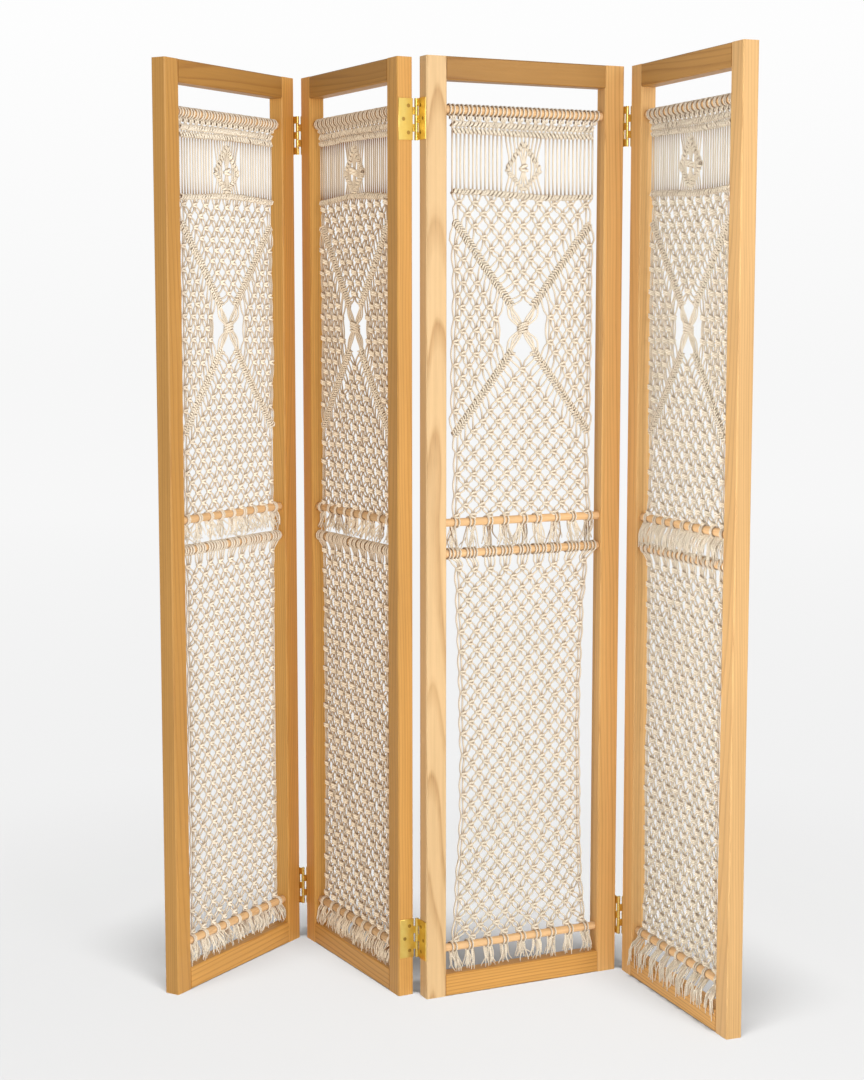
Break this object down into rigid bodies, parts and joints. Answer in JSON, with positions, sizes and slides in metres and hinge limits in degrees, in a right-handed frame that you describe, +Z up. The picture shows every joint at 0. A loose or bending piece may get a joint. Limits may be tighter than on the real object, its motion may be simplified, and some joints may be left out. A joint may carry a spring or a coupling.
{
  "type": "folding macrame screen",
  "caption": "Folding room screen of hinged wooden frames, each strung with knotted cotton cord nets between dowels; stands in a zigzag and folds flat.",
  "frame": {"origin": "centre of the standing screen's footprint box, on the floor", "axes": "+Z up, +X along the row of panels from the first to the last, +Y away from the viewer, through the screen"},
  "size_m": [1.0622, 0.6048, 1.75],
  "materials": {
    "oiled_wood": "satin oil, open grain",
    "dowel_wood": "satin oil",
    "cotton_cord": "natural twisted cotton",
    "brass": "polished",
    "screw_brass": "polished"
  },
  "bodies": {
    "panel_1": {"panel_1_left_stile": "oiled_wood", "panel_1_right_stile": "oiled_wood", "panel_1_bottom_rail": "oiled_wood", "panel_1_top_rail": "oiled_wood", "panel_1_top_dowel": "dowel_wood", "panel_1_upper_mid_dowel": "dowel_wood", "panel_1_lower_mid_dowel": "dowel_wood", "panel_1_bottom_dowel": "dowel_wood", "panel_1_upper_macrame": "cotton_cord", "panel_1_lower_macrame": "cotton_cord", "hinge_1_2_left_leaves": "brass", "hinge_1_2_pins": "brass", "hinge_1_2_left_screws": "screw_brass"},
    "panel_2": {"panel_2_left_stile": "oiled_wood", "panel_2_right_stile": "oiled_wood", "panel_2_bottom_rail": "oiled_wood", "panel_2_top_rail": "oiled_wood", "panel_2_top_dowel": "dowel_wood", "panel_2_upper_mid_dowel": "dowel_wood", "panel_2_lower_mid_dowel": "dowel_wood", "panel_2_bottom_dowel": "dowel_wood", "panel_2_upper_macrame": "cotton_cord", "panel_2_lower_macrame": "cotton_cord", "hinge_1_2_right_leaves": "brass", "hinge_1_2_right_screws": "screw_brass", "hinge_2_3_left_leaves": "brass", "hinge_2_3_left_screws": "screw_brass"},
    "panel_3": {"panel_3_left_stile": "oiled_wood", "panel_3_right_stile": "oiled_wood", "panel_3_bottom_rail": "oiled_wood", "panel_3_top_rail": "oiled_wood", "panel_3_top_dowel": "dowel_wood", "panel_3_upper_mid_dowel": "dowel_wood", "panel_3_lower_mid_dowel": "dowel_wood", "panel_3_bottom_dowel": "dowel_wood", "panel_3_upper_macrame": "cotton_cord", "panel_3_lower_macrame": "cotton_cord", "hinge_2_3_right_leaves": "brass", "hinge_2_3_pins": "brass", "hinge_2_3_right_screws": "screw_brass", "hinge_3_4_left_leaves": "brass", "hinge_3_4_pins": "brass", "hinge_3_4_left_screws": "screw_brass"},
    "panel_4": {"panel_4_left_stile": "oiled_wood", "panel_4_right_stile": "oiled_wood", "panel_4_bottom_rail": "oiled_wood", "panel_4_top_rail": "oiled_wood", "panel_4_top_dowel": "dowel_wood", "panel_4_upper_mid_dowel": "dowel_wood", "panel_4_lower_mid_dowel": "dowel_wood", "panel_4_bottom_dowel": "dowel_wood", "panel_4_upper_macrame": "cotton_cord", "panel_4_lower_macrame": "cotton_cord", "hinge_3_4_right_leaves": "brass", "hinge_3_4_right_screws": "screw_brass"}
  },
  "joints": [
    {"name": "fold_1_2", "type": "hinge", "parent": "panel_2", "child": "panel_1", "pos_m": [-0.28999, 0.28586, 0], "axis": [0, 0, 1], "range_deg": [-121, 59]},
    {"name": "fold_2_3", "type": "hinge", "parent": "panel_2", "child": "panel_3", "pos_m": [-0.05176, -0.06126, 0], "axis": [0, 0, 1], "range_deg": [-87, 93]},
    {"name": "fold_3_4", "type": "hinge", "parent": "panel_3", "child": "panel_4", "pos_m": [0.34451, 0.08092, 0], "axis": [0, 0, 1], "range_deg": [-86, 94]}
  ]
}
